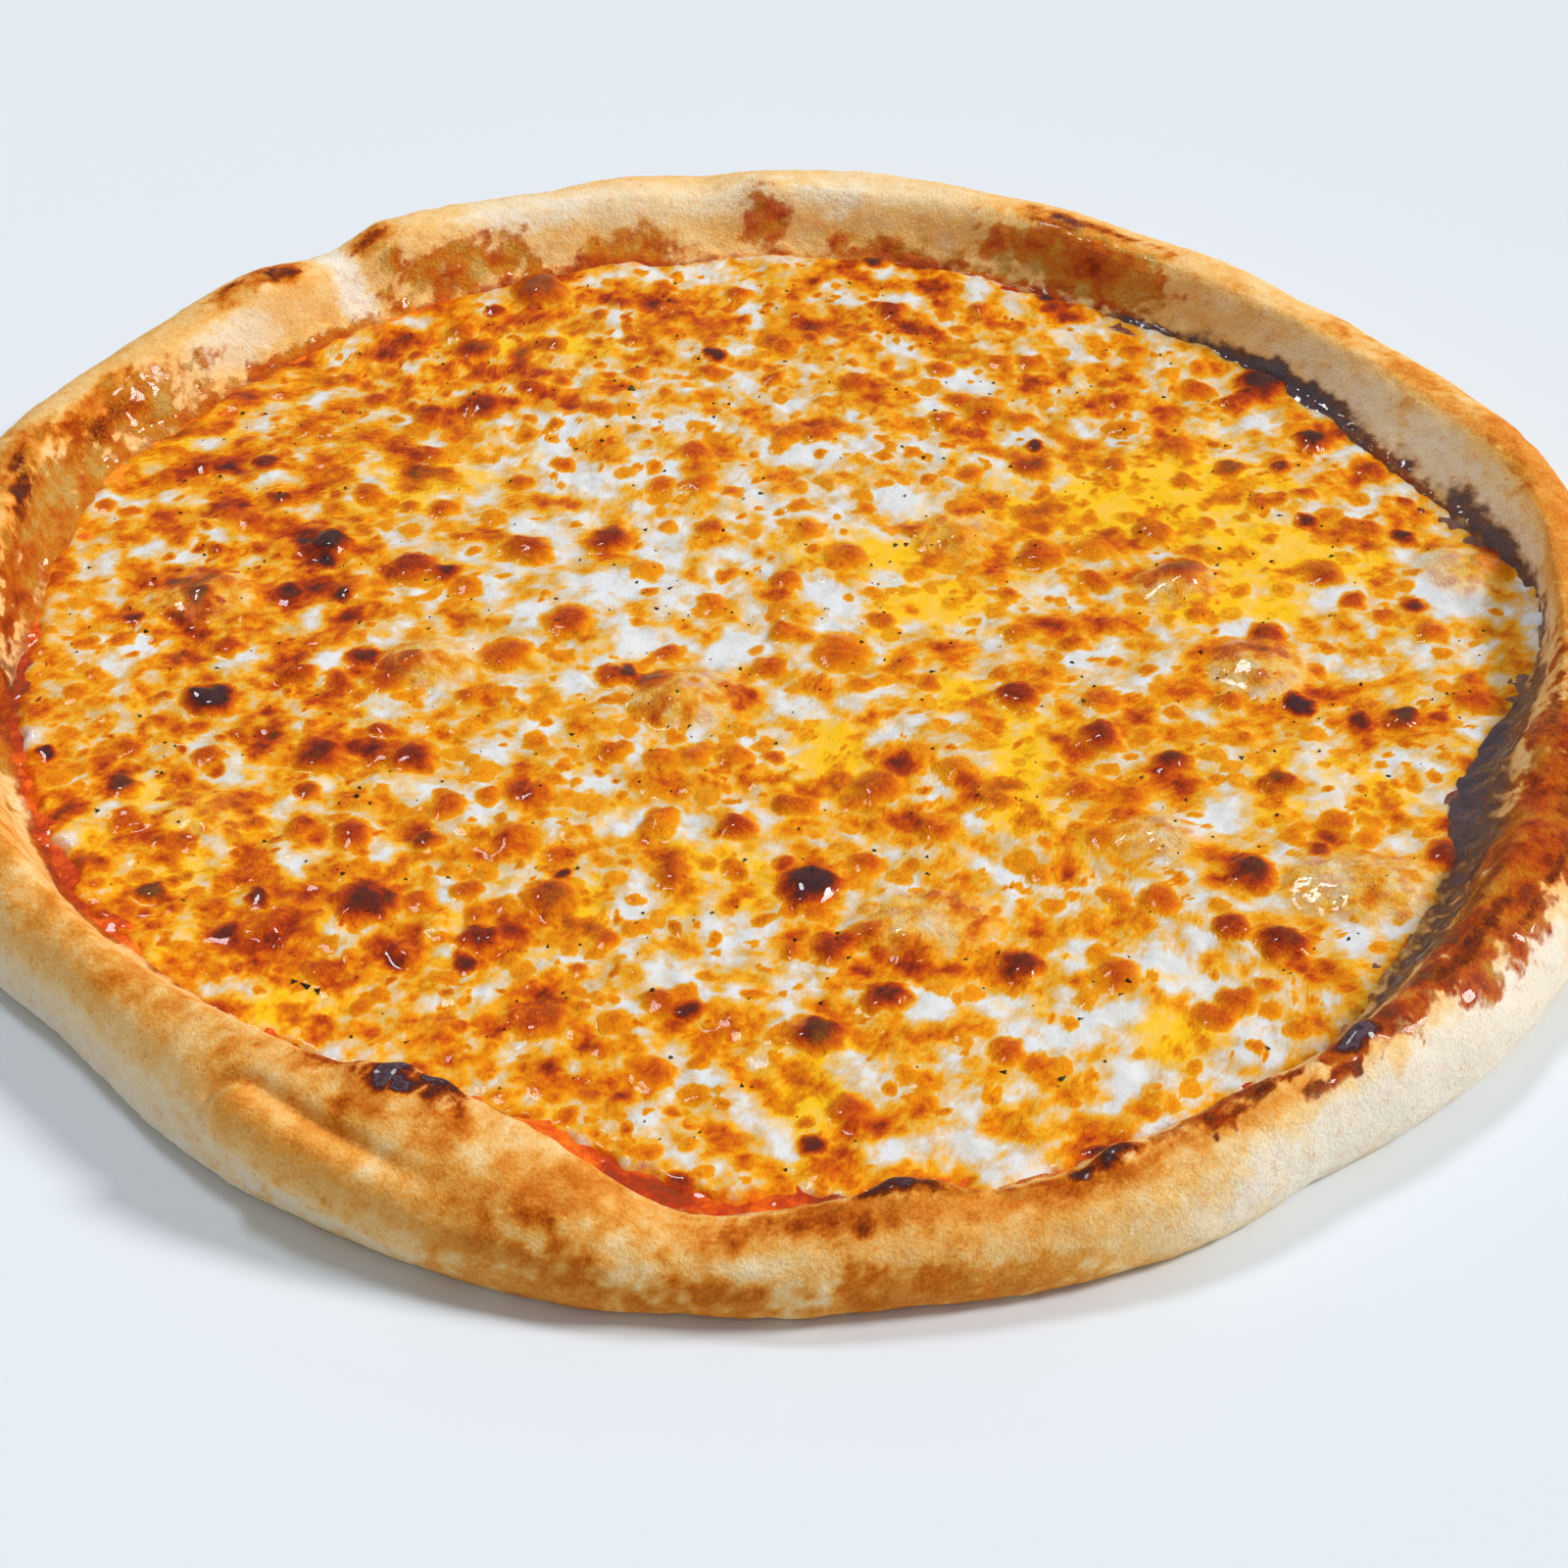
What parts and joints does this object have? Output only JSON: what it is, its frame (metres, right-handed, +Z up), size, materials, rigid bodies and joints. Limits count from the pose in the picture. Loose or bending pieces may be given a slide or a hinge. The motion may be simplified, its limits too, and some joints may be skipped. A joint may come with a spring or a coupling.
{
  "type": "margherita pizza",
  "caption": "Round baked pizza: raised bread rim, a film of tomato sauce at the edge, and browned melted cheese with dried herbs.",
  "frame": {"origin": "middle of the flat underside, in the middle of the outline's box", "axes": "+Z up out of the cheese; -Y towards the viewer of the picture; +X to the right"},
  "size_m": [0.3116, 0.3156, 0.0229],
  "materials": {
    "crust": "baked bread crust, golden with scorched spots, matt to satin",
    "sauce": "cooked tomato sauce, wet and glossy",
    "cheese": "melted cheese, white to golden orange with toasted blisters, oily gloss"
  },
  "bodies": {
    "root": {"crust": "crust", "sauce": "sauce", "cheese": "cheese"}
  },
  "joints": []
}
